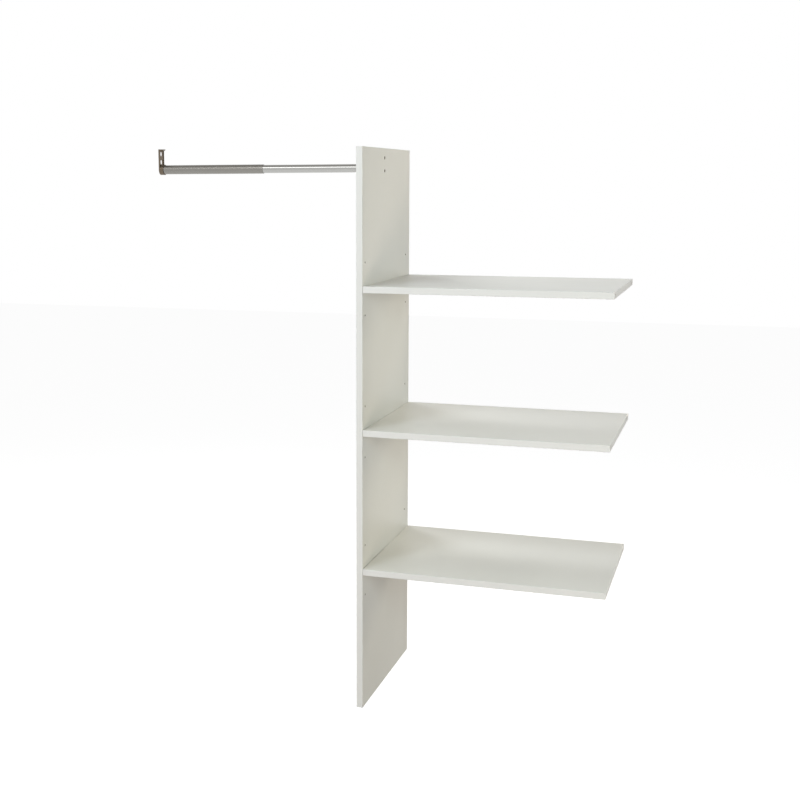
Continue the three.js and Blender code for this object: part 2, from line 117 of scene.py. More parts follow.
class ClosetRailSettings(bpy.types.PropertyGroup):
    """Clothes rail, its bracket and its socket."""

    chrome: colour("Chrome", "Bright plating of the inner tube", (0.46, 0.46, 0.445))
    satin: colour("Satin", "Satin plating of the outer tube", (0.298, 0.289, 0.268))
    bronze: colour("Bronze", "Dull plating of the bracket and the socket", (0.205, 0.165, 0.122))
    wall: length("Tube wall", "Thickness of the tubes' wall", 1 * MM)
    lip: length("Lip radius", "Rounding of the tubes' ends", 0.3 * MM)
    mouth_turn: length("Mouth turn", "How far the outer tube's mouth is rolled in", 0.2 * MM)
    mouth_length: length("Mouth length", "Length over which a tube's mouth is rolled in", 3 * MM)
    sides: count("Tube sides", "Facets round a tube", 96)
    edge: length("Sheet edge", "Rounding of the pressed sheet's edges", 0.4 * MM)


class ClosetFittingSettings(bpy.types.PropertyGroup):
    """Cams, bolts, screws, sleeve nuts and wall angles."""

    zinc: colour("Zinc plate", "Plating of the screws, bolts and angles", (0.43, 0.44, 0.44))
    casting: colour("Casting", "Die-cast zinc of the cams", (0.5, 0.5, 0.49))
    plastic: colour("Plastic", "Glide in the inner tube's end", (0.02, 0.02, 0.02))
    edge: length("Edge", "Rounding of the fittings' edges", 0.15 * MM)
    angle_shank: length("Angle screw shank", "Radius of the wall angles' screws", 1.7 * MM)
    socket_shank: length("Socket screw shank", "Radius of the rail socket's screws", 1.9 * MM)
    head_height: length("Head height", "Height of a screw's head", 2.1 * MM)
    recess_width: length("Recess width", "Width of a screw's cross recess", 1 * MM)
    recess_depth: length("Recess depth", "Depth of a screw's cross recess", 1.3 * MM)
    thread_pitch: length("Thread pitch", "From one turn of a screw's thread to the next", 1.4 * MM)
    thread_depth: length("Thread depth", "Depth of a screw's thread", 0.4 * MM)
    screw_sides: count("Screw sides", "Facets round a screw", 32)


class ClosetStageSettings(bpy.types.PropertyGroup):
    """Floor, lamps and camera."""

    floor_drop: length("Floor drop", "From the partition's foot down to the floor", 0.35)
    floor_reach: length("Floor reach", "From the middle of the floor to its edges", 12)
    floor_colour: colour("Floor", "Colour of the light that the floor sends up", (0.12, 0.11, 0.095))
    floor_glow: number("Floor glow", "How near to white the floor looks in shadow", 0.97)
    shadow_catch: colour("Shadow catch", "Floor's colour for the camera, over its glow", (0.22,) * 3)
    ambient: colour("Ambient", "Light from all around", (0.01, 0.01, 0.01))
    ceiling: colour("Ceiling", "What metal shows of the studio's ceiling", (0.55, 0.535, 0.52))
    lens: number("Lens", "Focal length for a sensor of 36 mm", 55.76, "CAMERA")


# Shader maths


class Value:
    """A socket of a node tree. Arithmetic on it adds Math nodes."""

    def __init__(self, finish, socket):
        self.finish = finish
        self.socket = socket

    def _math(self, operation, first, second=0.0):
        settings = {"operation": operation}
        return self.finish.node("ShaderNodeMath", settings, {0: first, 1: second})

    def __add__(self, other):
        return self._math("ADD", self, other)

    def __radd__(self, other):
        return self._math("ADD", other, self)

    def __sub__(self, other):
        return self._math("SUBTRACT", self, other)

    def __rsub__(self, other):
        return self._math("SUBTRACT", other, self)

    def __mul__(self, other):
        return self._math("MULTIPLY", self, other)

    def __rmul__(self, other):
        return self._math("MULTIPLY", other, self)

    def __abs__(self):
        return self._math("ABSOLUTE", self)

    def __lt__(self, other):
        return self._math("LESS_THAN", self, other)

    def larger(self, other):
        return self._math("MAXIMUM", self, other)


class Finish:
    """A node tree that is being built for a material or for the world."""

    def __init__(self, owner):
        self.owner = owner
        owner.use_nodes = True
        self.tree = owner.node_tree
        self.tree.nodes.clear()

    def node(self, kind, settings=None, sockets=None, output=0):
        """Adds a node: first its settings, then its sockets. Gives back one of its outputs."""
        made = self.tree.nodes.new(kind)
        for name, value in (settings or {}).items():
            if name == "stops":
                self._stops(made.color_ramp, value)
            else:
                setattr(made, name, value)
        for key, value in (sockets or {}).items():
            if isinstance(value, Value):
                self.tree.links.new(value.socket, made.inputs[key])
            else:
                made.inputs[key].default_value = value
        return Value(self, made.outputs[output]) if made.outputs else None

    @staticmethod
    def _stops(ramp, stops):
        while len(ramp.elements) < len(stops):
            ramp.elements.new(1)
        for element, (place, shade) in zip(ramp.elements, stops):
            element.position = place
            element.color = (shade, shade, shade, 1)

    def place(self):
        """The point on the surface, in metres and in the piece's own frame."""
        return self.node("ShaderNodeTexCoord", output="Object")

    def stretched(self, vector, scales):
        """A vector with each axis scaled by its own number."""
        settings = {"operation": "MULTIPLY"}
        return self.node("ShaderNodeVectorMath", settings, {0: vector, 1: scales})

    def noise(self, vector, per_metre, detail=2.0, roughness=0.5):
        """Soft noise with so many lumps to a metre."""
        sockets = {"Vector": vector, "Scale": per_metre, "Detail": detail, "Roughness": roughness}
        return self.node("ShaderNodeTexNoise", {}, sockets)

    def flakes(self, vector, per_metre):
        """Cells of one grey level each, with so many to a metre."""
        sockets = {"Vector": vector, "Scale": per_metre}
        cells = self.node("ShaderNodeTexVoronoi", {}, sockets, "Color")
        return self.node("ShaderNodeSeparateColor", {}, {0: cells})

    def ramp(self, value, *stops):
        """Grey levels at places from 0 to 1, as a value."""
        return self.node("ShaderNodeValToRGB", {"stops": stops}, {0: value})

    def mixed(self, factor, first, second):
        """One colour turning into another."""
        sockets = {0: factor, 6: opaque(first), 7: opaque(second)}
        return self.node("ShaderNodeMix", {"data_type": "RGBA"}, sockets, 2)

    def bump(self, height, distance, strength):
        sockets = {"Height": height, "Distance": distance, "Strength": strength}
        return self.node("ShaderNodeBump", {}, sockets)

    def shader(self, **sockets):
        """The surface's shader, from the names of its sockets with _ for each space."""
        named = {name.replace("_", " "): value for name, value in sockets.items()}
        surface = self.node("ShaderNodeBsdfPrincipled", {}, named)
        self.node("ShaderNodeOutputMaterial", {}, {"Surface": surface})
        return self.owner


def opaque(shade):
    """A colour with full alpha, or a link as it is."""
    return shade if isinstance(shade, Value) else (*shade, 1)


def darker(shade, share):
    return tuple(channel * share for channel in shade)


def new_finish(name):
    return Finish(bpy.data.materials.new(name))


def melamine(name, axis, centre, half, settings):
    """Pearl-textured facing on both faces of a board, and chipboard where a drill went in.

    The axis is the letter of the one that the board is thin along. The board's centre and half
    its thickness on that axis tell the facing from the core.
    """
    made = new_finish(name)
    place = made.place()
    skin = 0.15 * MM
    across = abs(made.node("ShaderNodeSeparateXYZ", {}, {0: place}, axis) - centre)
    core = across < half - skin
    flake = made.flakes(place, per_metre=620.0)
    fibre = made.noise(place, per_metre=2400.0, detail=3.0)
    chip = made.mixed(flake * 0.7 + fibre * 0.3, darker(settings.core, 0.45), settings.core)
    cloud = made.noise(place, per_metre=7.0, detail=3.0)
    speck = made.noise(place, per_metre=1100.0)
    tint = made.mixed(cloud * 0.5 + speck * 0.5, darker(settings.facing, 0.972), settings.facing)
    fibre_height = 8.0
    height = made.noise(place, per_metre=950.0) * (1 - core) + fibre * core * fibre_height
    upright = made.stretched(place, (3.0, 3.0, 1.0))
    smear = made.noise(upright, per_metre=9.0, detail=4.0, roughness=0.6)
    return made.shader(
        Base_Color=made.mixed(core, tint, chip),
        Roughness=0.36 + smear * 0.12 + core * 0.4,
        Normal=made.bump(height, settings.pearl, 0.6),
    )


def edge_band(settings):
    """Smooth plastic strip with the faint ripple that its extruder leaves."""
    made = new_finish("edge_band")
    place = made.place()
    ripple = made.noise(place, per_metre=380.0, detail=4.0, roughness=0.65)
    cloud = made.noise(place, per_metre=14.0)
    return made.shader(
        Base_Color=made.mixed(cloud, darker(settings.banding, 0.975), settings.banding),
        Roughness=0.3 + ripple * 0.1,
        Normal=made.bump(ripple, 0.004 * MM, 0.5),
    )


def drawn_tube(name, shade, roughness, grain):
    """Plated tube with the faint lines of drawing along it and soft smudges of handling."""
    made = new_finish(name)
    place = made.place()
    drawn_out = made.stretched(place, (0.004, 1.0, 1.0))
    lines = made.noise(drawn_out, per_metre=5000.0, roughness=0.6)
    smudge = made.noise(place, per_metre=28.0, detail=4.0, roughness=0.65)
    handled = made.ramp(smudge, (0.45, 0.0), (0.75, 1.0))
    return made.shader(
        Base_Color=made.mixed(smudge, darker(shade, 0.93), shade),
        Metallic=1.0,
        Roughness=roughness + handled * 0.06 + lines * grain,
        Normal=made.bump(lines, 0.0015 * MM, 0.4),
    )


def pressed_steel(shade):
    """Dull bronze-brown plating, mottled, with fine roller marks and lighter rubbed patches."""
    made = new_finish("bronzed_steel")
    place = made.place()
    mottle = made.noise(place, per_metre=160.0, detail=5.0, roughness=0.7)
    wear = made.noise(place, per_metre=75.0, detail=3.0, roughness=0.6)
    rubbed = made.ramp(wear, (0.55, 0.0), (0.72, 1.0))
    rolled_out = made.stretched(place, (1.0, 1.0, 0.08))
    marks = made.noise(rolled_out, per_metre=1800.0)
    base = made.mixed(mottle, darker(shade, 0.72), shade)
    return made.shader(
        Base_Color=made.mixed(rubbed * 0.35, base, darker(shade, 1.7)),
        Metallic=0.92,
        Roughness=0.34 + mottle * 0.16,
        Normal=made.bump(marks * 0.4 + mottle, 0.02 * MM, 0.5),
    )


def zinc_plate(shade):
    """Bright zinc with the cloudy, faintly yellow bloom of its passivation."""
    made = new_finish("zinc_plate")
    place = made.place()
    bloom = made.noise(place, per_metre=110.0, detail=4.0, roughness=0.6)
    grain = made.noise(place, per_metre=2600.0)
    warm = (shade[0] * 1.02, shade[1] * 0.97, shade[2] * 0.86)
    return made.shader(
        Base_Color=made.mixed(bloom, warm, shade),
        Metallic=1.0,
        Roughness=0.24 + bloom * 0.14,
        Normal=made.bump(grain, 0.008 * MM, 0.5),
    )


def die_casting(shade):
    """Grainy skin of a small zinc casting."""
    made = new_finish("die_casting")
    place = made.place()
    skin = made.noise(place, per_metre=900.0, detail=4.0, roughness=0.7)
    flow = made.noise(place, per_metre=130.0, detail=3.0)
    return made.shader(
        Base_Color=made.mixed(flow, darker(shade, 0.8), shade),
        Metallic=0.95,
        Roughness=0.42 + skin * 0.18,
        Normal=made.bump(skin, 0.03 * MM, 0.5),
    )


def moulded_plastic(shade):
    """Black moulded plastic with a fine spark-eroded texture."""
    made = new_finish("moulded_plastic")
    spark = made.noise(made.place(), per_metre=2200.0, detail=3.0)
    return made.shader(
        Base_Color=made.mixed(spark, shade, darker(shade, 1.6)),
        Roughness=0.5 + spark * 0.1,
        Normal=made.bump(spark, 0.01 * MM, 0.5),
    )


# Mesh work


def linked(name, mesh):
    made = bpy.data.objects.new(name, mesh)
    bpy.context.scene.collection.objects.link(made)
    return made


def object_from(name, bm):
    """A bmesh as an object of its own."""
    bmesh.ops.recalc_face_normals(bm, faces=bm.faces)
    mesh = bpy.data.meshes.new(name)
    bm.to_mesh(mesh)
    bm.free()
    return linked(name, mesh)


def settled(piece):
    """Bakes a piece's modifiers into its mesh."""
    graph = bpy.context.evaluated_depsgraph_get()
    mesh = bpy.data.meshes.new_from_object(piece.evaluated_get(graph))
    piece.modifiers.clear()
    old = piece.data
    piece.data = mesh
    bpy.data.meshes.remove(old)
    return piece


def cut(piece, tools):
    """Cuts tools out of a piece, and then deletes them."""
    for tool in tools:
        boolean = piece.modifiers.new("cut", "BOOLEAN")
        boolean.operation = "DIFFERENCE"
        boolean.solver = "EXACT"
        boolean.object = tool
    settled(piece)
    for tool in tools:
        bpy.data.objects.remove(tool)


def smooth(piece):
    """Smooth shading that keeps real corners sharp and large faces flat."""
    mesh = piece.data
    mesh.polygons.foreach_set("use_smooth", [True] * len(mesh.polygons))
    mesh.set_sharp_from_angle(angle=math.radians(32))
    weighted = piece.modifiers.new("weighted", "WEIGHTED_NORMAL")
    weighted.keep_sharp = True
    weighted.weight = 100


def dress(piece, material, body, node):
    """Gives a piece its material, its body and the CAD node that it stands for."""
    piece.data.materials.clear()
    piece.data.materials.append(material)
    smooth(piece)
    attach(piece, body)
    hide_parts(node)


def box_mesh(low, high):
    bm = bmesh.new()
    bmesh.ops.create_cube(bm, size=1)
    centre = (low + high) / 2
    size = high - low
    for vertex in bm.verts:
        vertex.co = centre + Vector(share * side for share, side in zip(vertex.co, size))
    return bm


def rounded_edges(bm, picked, radius, segments):
    edges = [edge for edge in bm.edges if picked(edge)]
    bmesh.ops.bevel(
        bm, geom=edges, offset=radius, segments=segments, profile=0.5, affect="EDGES",
        clamp_overlap=True,
    )


def turned(profile, sides, matrix, closed=False):
    """A turned form from pairs of a radius and a place along the axis, which the matrix places."""
    bm = bmesh.new()
    add_turned(bm, profile, sides, matrix, closed)
    return bm


def add_turned(bm, profile, sides, matrix, closed=False):
    rings = []
    for radius, along in profile:
        if radius == 0:
            rings.append([bm.verts.new(matrix @ Vector((0, 0, along)))])
            continue
        ring = []
        for side in range(sides):
            turn = 2 * math.pi * side / sides
            point = Vector((radius * math.cos(turn), radius * math.sin(turn), along))
            ring.append(bm.verts.new(matrix @ point))
        rings.append(ring)
    pairs = list(zip(rings, rings[1:]))
    if closed:
        pairs.append((rings[-1], rings[0]))
    for first, second in pairs:
        for side in range(sides):
            after = (side + 1) % sides
            corners = [
                first[side % len(first)],
                first[after % len(first)],
                second[after % len(second)],
                second[side % len(second)],
            ]
            bm.faces.new(list(dict.fromkeys(corners)))


def aimed(direction, point):
    """A matrix that sets a turned form's axis along a direction, from a point."""
    turn = Vector((0, 0, 1)).rotation_difference(Vector(direction)).to_matrix().to_4x4()
    return Matrix.Translation(point) @ turn


def arc(centre_radius, centre_along, radius, start, end, steps=4):
    """Points of a round in a turned form's profile, between two angles in degrees."""
    points = []
    for step in range(steps + 1):
        turn = math.radians(start + (end - start) * step / steps)
        points.append(
            (centre_radius + radius * math.cos(turn), centre_along + radius * math.sin(turn))
        )
    return points


def middle(node):
    low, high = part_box(node)
    return (low + high) / 2


def drill(bm, point, outward, radius, depth, rim, sides):
    """Adds a drill bit that enters at a point against its outward direction and breaks the rim."""
    profile = [
        (0, -depth),
        (radius, -depth),
        (radius, -rim),
        (radius + rim, 0),
        (radius + rim, OVERRUN),
        (0, OVERRUN),
    ]
    add_turned(bm, profile, sides, aimed(outward, point))


# Boards


def panel(name, node, drills, material, settings):
    """Makes a board with a tiny chamfer at its bands and every hole that it is drilled with."""
    bm = box_mesh(*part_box(node))
    rounded_edges(bm, lambda edge: True, settings.joint, 1)
    piece = object_from(name, bm)
    cut(piece, [object_from(name + "_drill", bits) for bits in drills])
    dress(piece, material, ROOT_BODY, node)


def partition_drills(settings):
    """Blind holes for the bolts and spare rows, through holes for sleeve nuts, and screw pilots."""
    right = Vector((1, 0, 0))
    left = Vector((-1, 0, 0))
    low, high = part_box("partition_board")
    sides = settings.hole_sides
    blind = bmesh.new()
    for shelf in SHELVES:
        for side in SIDES:
            bolt = middle(f"{shelf}_{side}_bolt")
            for row in (-1, 0, 1):
                point = Vector((high.x, bolt.y, bolt.z + row * settings.row_pitch))
                depth = settings.hole_depth
                drill(blind, point, right, settings.hole_radius, depth, settings.rim, sides)
    thickness = high.x - low.x
    for place in SOCKET_PLACES:
        nut_low, nut_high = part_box(f"socket_{place}_sleeve_nut")
        nut = (nut_low + nut_high) / 2
        radius = (nut_high.y - nut_low.y) / 2 + settings.fit
        point = Vector((high.x, nut.y, nut.z))
        drill(blind, point, right, radius, thickness + OVERRUN, settings.rim, sides)
    for angle in ANGLES:
        for side in SIDES:
            screw_low, screw_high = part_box(f"{angle}_angle_{side}_screw")
            screw = (screw_low + screw_high) / 2
            depth = screw_high.x - low.x + settings.fit
            point = Vector((low.x, screw.y, screw.z))
            drill(blind, point, left, settings.pilot_radius, depth, settings.rim, sides)
    return [blind]


def shelf_drills(shelf, settings):
    """Pockets for the four cams, and the bores from both ends that lead to them."""
    low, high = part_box(f"{shelf}_board")
    down = Vector((0, 0, -1))
    pockets = bmesh.new()
    bores = bmesh.new()
    for end, outward, x in (("fixed", -1, low.x), ("free", 1, high.x)):
        for side in SIDES:
            cam_low, cam_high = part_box(f"{shelf}_{end}_{side}_cam")
            cam = (cam_low + cam_high) / 2
            point = Vector((cam.x, cam.y, low.z))
            radius = (cam_high.y - cam_low.y) / 2 + settings.fit
            depth = cam_high.z - low.z + settings.fit
            drill(pockets, point, down, radius, depth, settings.rim, settings.hole_sides * 2)
            mouth = Vector((x, cam.y, (low.z + high.z) / 2))
            away = Vector((outward, 0, 0))
            reach = abs(x - cam.x)
            drill(bores, mouth, away, settings.bore_radius, reach, 0, settings.hole_sides)
    return [pockets, bores]


class ClosetMakePanels(bpy.types.Operator):
    """Makes the partition board and the three shelf boards with their drilled holes"""

    bl_idname = "closet.make_panels"
    bl_label = "Boards"

    def execute(self, context):
        settings = context.scene.closet_boards
        low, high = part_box("partition_board")
        half = (high.x - low.x) / 2
        centre = middle("partition_board").x
        material = melamine("partition_melamine", "X", centre, half, settings)
        drills = partition_drills(settings)
        panel("partition_panel", "partition_board", drills, material, settings)
        for shelf in SHELVES:
            centre = middle(f"{shelf}_board").z
            material = melamine(f"{shelf}_melamine", "Z", centre, half, settings)
            drills = shelf_drills(shelf, settings)
            panel(f"{shelf}_panel", f"{shelf}_board", drills, material, settings)
        return {"FINISHED"}


def edging(node, thin, outward, whole_rim, material, settings, seam=0.0, bores=()):
    """Makes an edge band that faces out along its thin axis, with its outer corners rounded.

    Either its whole rim is rounded or only the two long corners. The seam shortens it at the
    partition, and the bores go through it where they go through the board.
    """
    low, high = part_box(node)
    low.x += seam
    outer = high[thin] if outward > 0 else low[thin]
    sizes = high - low
    long_axis = max((X, Y, Z), key=lambda axis: sizes[axis])
    bm = box_mesh(low, high)

    def on_outer_face(edge):
        return all(abs(vertex.co[thin] - outer) < settings.arris / 2 for vertex in edge.verts)

    def rounded(edge):
        along = edge.verts[0].co - edge.verts[1].co
        lengthwise = abs(along[long_axis]) > along.length / 2
        return on_outer_face(edge) and (whole_rim or lengthwise)

    rounded_edges(bm, rounded, settings.arris, 4)
    piece = object_from(node + "_strip", bm)
    if bores:
        away = Vector((outward, 0, 0))
        start = 2 * MM  # outside the board's end, which clears the band
        depth = 3 * start
        bits = bmesh.new()
        for point in bores:
            mouth = point + start * away
            drill(bits, mouth, away, settings.bore_radius, depth, 0, settings.hole_sides)
        cut(piece, [object_from(node + "_drill", bits)])
    dress(piece, material, ROOT_BODY, node)


class ClosetMakeEdging(bpy.types.Operator):
    """Makes the plastic bands on the edges of all four boards"""

    bl_idname = "closet.make_edging"
    bl_label = "Edge bands"

    def execute(self, context):
        settings = context.scene.closet_boards
        material = edge_band(settings)
        edging("partition_front_band", Y, -1, True, material, settings)
        edging("partition_back_band", Y, 1, True, material, settings)
        edging("partition_top_band", Z, 1, False, material, settings)
        edging("partition_foot_band", Z, -1, False, material, settings)
        for shelf in SHELVES:
            for side, outward in (("front", -1), ("back", 1)):
                edging(
                    f"{shelf}_{side}_band", Y, outward, True, material, settings, settings.seam
                )
            low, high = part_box(f"{shelf}_board")
            ends = (("fixed", -1, low.x, settings.seam), ("free", 1, high.x, 0))
            for end, outward, x, seam in ends:
                bores = []
                for side in SIDES:
                    cam = middle(f"{shelf}_{end}_{side}_cam")
                    bores.append(Vector((x, cam.y, (low.z + high.z) / 2)))
                node = f"{shelf}_{end}_end_band"
                edging(node, X, outward, False, material, settings, seam, bores)
        return {"FINISHED"}


# Clothes rail


def pipe(name, node, mouth_turn, body, material, settings):
    """Makes a tube along X with rounded lips. Its mouth at the high end may be rolled in."""
    low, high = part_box(node)
    centre = (low + high) / 2
    radius = (high.y - low.y) / 2
    bore = radius - settings.wall
    lip = settings.lip
    start = low.x
    end = high.x
    profile = [
        *arc(bore + lip, start + lip, lip, 180, 270),
        *arc(radius - lip, start + lip, lip, 270, 360),
        (radius, end - settings.mouth_length),
        *arc(radius - mouth_turn - lip, end - lip, lip, 0, 90),
        *arc(bore - mouth_turn + lip, end - lip, lip, 90, 180),
        (bore, end - settings.mouth_length),
    ]
    along_x = aimed((1, 0, 0), Vector((0, centre.y, centre.z)))
    piece = object_from(name, turned(profile, settings.sides, along_x, closed=True))
    dress(piece, material, body, node)


class ClosetMakeTubes(bpy.types.Operator):
    """Makes the two tubes of the telescopic rail and finishes the glide between them"""

    bl_idname = "closet.make_tubes"
    bl_label = "Rail tubes"

    def execute(self, context):
        settings = context.scene.closet_rail
        satin = drawn_tube("satin_plate", settings.satin, roughness=0.3, grain=0.06)
        chrome = drawn_tube("chrome_plate", settings.chrome, roughness=0.09, grain=0.03)
        pipe(
            "rail_outer_pipe", "rail_outer_tube", settings.mouth_turn, RAIL_BODY, satin,
            settings,
        )
        pipe(
            "rail_inner_pipe", "rail_inner_tube", 0, ROOT_BODY, chrome, settings
        )
        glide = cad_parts["rail_glide"]
        glide.data.materials.clear()
        glide.data.materials.append(moulded_plastic(context.scene.closet_fittings.plastic))
        return {"FINISHED"}


def refined(name, node, edge, segments=2):
    """The CAD node's own form as a piece, with welded corners and its sharp edges rounded."""
    bm = bmesh.new()
    bm.from_mesh(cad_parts[node].data)
    bmesh.ops.remove_doubles(bm, verts=bm.verts, dist=0.001 * MM)
    bmesh.ops.dissolve_limit(bm, angle_limit=math.radians(1), verts=bm.verts, edges=bm.edges)
    piece = object_from(name, bm)
    bevel = piece.modifiers.new("edge", "BEVEL")
    bevel.width = edge
    bevel.segments = segments
    bevel.limit_method = "ANGLE"
    bevel.angle_limit = math.radians(40)
    bevel.miter_outer = "MITER_ARC"
    return settled(piece)


class ClosetMakeBrackets(bpy.types.Operator):
    """Makes the slotted bracket at the rail's far end and the socket on the partition"""

    bl_idname = "closet.make_brackets"
    bl_label = "Rail bracket and socket"

    def execute(self, context):
        settings = context.scene.closet_rail
        steel = pressed_steel(settings.bronze)
        for node, body in (("far_rail_bracket", RAIL_BODY), ("partition_rail_socket", ROOT_BODY)):
            piece = refined(node + "_pressing", node, settings.edge, 3)
            dress(piece, steel, body, node)
        return {"FINISHED"}


# Fittings


def cross_recess(name, point, width, depth, reach):
    """A tapered cross that goes into a screw's head along +X from a point."""
    taper_share = 0.55
    tools = []
    for long_axis in (Y, Z):
        half = Vector((0, width / 2, width / 2))
        half[long_axis] = reach
        bm = box_mesh(point - half - Vector((OVERRUN, 0, 0)), point + half + Vector((depth, 0, 0)))
        for vertex in bm.verts:
            if vertex.co.x > point.x:
                for axis in (Y, Z):
                    vertex.co[axis] = point[axis] + (vertex.co[axis] - point[axis]) * taper_share
        tools.append(object_from(f"{name}_recess", bm))
    return tools


def thread(bm, axis_point, start, end, pitch, depth):
    """Presses a helical groove into the shank between two places, fading in over one turn."""
    for vertex in bm.verts:
        along = vertex.co.x
        if not start < along < end:
            continue
        arm = Vector((0, vertex.co.y - axis_point.y, vertex.co.z - axis_point.z))
        if arm.length < depth:
            continue
        turn = math.atan2(arm.z, arm.y) / (2 * math.pi)
        phase = (along / pitch - turn) % 1
        groove = abs(2 * phase - 1)
        ease = min(1, (along - start) / pitch, (end - along) / pitch)
        shrink = 1 - depth * groove * ease / arm.length
        vertex.co.y = axis_point.y + arm.y * shrink
        vertex.co.z = axis_point.z + arm.z * shrink


def pan_screw(node, shank_radius, material, settings):
    """Makes a pan-head screw along +X with a cross recess, a threaded shank and a point."""
    low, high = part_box(node)
    centre = (low + high) / 2
    head = (high.y - low.y) / 2
    height = settings.head_height
    dome = height * 0.04  # how far the head's top has fallen half way out
    shoulder = height * 0.55
    shoulder_along = low.x + height * 0.6
    under = low.x + height
    tip = high.x
    rings_per_turn = 8
    rings = round((tip - under) / settings.thread_pitch * rings_per_turn)
    taper = 2 * shank_radius
    profile = [
        (0, low.x),
        (head * 0.5, low.x + dome),
        *arc(head - shoulder, shoulder_along, shoulder, 250, 355, steps=6),
        (head, under),
        (shank_radius, under),
    ]
    for ring in range(1, rings):
        along = under + (tip - under) * ring / rings
        shrink = min(1, (tip - along) / taper)
        profile.append((shank_radius * shrink, along))
    profile.append((0, tip))
    bm = turned(profile, settings.screw_sides, aimed((1, 0, 0), Vector((0, centre.y, centre.z))))
    thread(bm, centre, under, tip, settings.thread_pitch, settings.thread_depth)
    piece = object_from(node + "_turned", bm)
    point = Vector((low.x, centre.y, centre.z))
    reach = head * 0.62
    recess = cross_recess(node, point, settings.recess_width, settings.recess_depth, reach)
    cut(piece, recess)
    dress(piece, material, ROOT_BODY, node)


def plated(name, node, material, settings):
    """Makes a fixed piece of zinc-plated steel from the CAD node's own form."""
    piece = refined(name, node, settings.edge)
    dress(piece, material, ROOT_BODY, node)


class ClosetMakeScrews(bpy.types.Operator):
    """Makes the screws of the wall angles and of the rail's socket, the sleeve nuts and the bolts"""

    bl_idname = "closet.make_screws"
    bl_label = "Screws and bolts"

    def execute(self, context):
        settings = context.scene.closet_fittings
        zinc = zinc_plate(settings.zinc)
        for angle in ANGLES:
            for side in SIDES:
                pan_screw(f"{angle}_angle_{side}_screw", settings.angle_shank, zinc, settings)
        for place in SOCKET_PLACES:
            pan_screw(f"socket_{place}_screw", settings.socket_shank, zinc, settings)
            nut = f"socket_{place}_sleeve_nut"
            plated(nut + "_turned", nut, zinc, settings)
        for shelf in SHELVES:
            for side in SIDES:
                bolt = f"{shelf}_{side}_bolt"
                plated(bolt + "_turned", bolt, zinc, settings)
        return {"FINISHED"}


class ClosetMakeCams(bpy.types.Operator):
    """Makes the twelve cams in the undersides of the shelves"""

    bl_idname = "closet.make_cams"
    bl_label = "Cams"

    def execute(self, context):
        settings = context.scene.closet_fittings
        casting = die_casting(settings.casting)
        for shelf in SHELVES:
            for end in ENDS:
                for side in SIDES:
                    node = f"{shelf}_{end}_{side}_cam"
                    piece = refined(node + "_casting", node, settings.edge, 1)
                    dress(piece, casting, node, node)
        return {"FINISHED"}


class ClosetMakeAngles(bpy.types.Operator):
    """Makes the three steel angles that hold the partition to the wall"""

    bl_idname = "closet.make_angles"
    bl_label = "Wall angles"

    def execute(self, context):
        settings = context.scene.closet_fittings
        zinc = zinc_plate(settings.zinc)
        for place in ANGLES:
            node = f"{place}_wall_angle"
            plated(node + "_pressing", node, zinc, settings)
        return {"FINISHED"}


# Stage


def seen_rays(made):
    """1 for a ray from the camera, and 1 for one that metal or glass sends on, each otherwise 0."""
    kinds = ("Is Camera Ray", "Is Glossy Ray", "Is Transmission Ray")
    camera, glossy, glass = [made.node("ShaderNodeLightPath", output=kind) for kind in kinds]
    return camera, glossy.larger(glass)


def stage_floor(settings):
    """Makes a floor that the camera and metal see as near white, with the closet's shadow.

    It lights the closet with its own dull colour, and from below it is clear.
    """
    made = new_finish("studio_floor")
    camera, sent_on = seen_rays(made)
    lit = made.node("ShaderNodeBsdfDiffuse", {}, {"Color": opaque(settings.floor_colour)})
    pale = made.node("ShaderNodeBsdfDiffuse", {}, {"Color": opaque(settings.shadow_catch)})
    glow = made.node("ShaderNodeEmission", {}, {"Strength": settings.floor_glow})
    bright = made.node("ShaderNodeAddShader", {}, {0: pale, 1: glow})
    above = made.node("ShaderNodeMixShader", {}, {0: camera.larger(sent_on), 1: lit, 2: bright})
    from_below = made.node("ShaderNodeNewGeometry", output="Backfacing")
    clear = made.node("ShaderNodeBsdfTransparent")
    surface = made.node("ShaderNodeMixShader", {}, {0: from_below, 1: above, 2: clear})
    made.node("ShaderNodeOutputMaterial", {}, {"Surface": surface})
    bm = bmesh.new()
    bmesh.ops.create_grid(bm, x_segments=1, y_segments=1, size=settings.floor_reach)
    floor = object_from("floor", bm)
    floor.location.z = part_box("partition_foot_band")[0].z - settings.floor_drop
    floor.data.materials.append(made.owner)


def stage_world(settings):
    """Makes surroundings that are white to the camera, and a studio with a ceiling in metal."""
    made = Finish(bpy.context.scene.world or bpy.data.worlds.new("studio"))
    bpy.context.scene.world = made.owner
    camera, sent_on = seen_rays(made)
    toward = made.node("ShaderNodeTexCoord", output="Generated")
    height = made.node("ShaderNodeSeparateXYZ", {}, {0: toward}, "Z")
    horizon = 0.5
    overhead = 0.85
    ceiling = made.ramp(height, (horizon, 0.0), (overhead, 1.0))
    studio = made.mixed(ceiling, (1, 1, 1), settings.ceiling)
    shade = made.mixed(camera, made.mixed(sent_on, settings.ambient, studio), (1, 1, 1))
    light = made.node("ShaderNodeBackground", {}, {"Color": shade, "Strength": 1.0})
    made.node("ShaderNodeOutputWorld", {}, {"Surface": light})


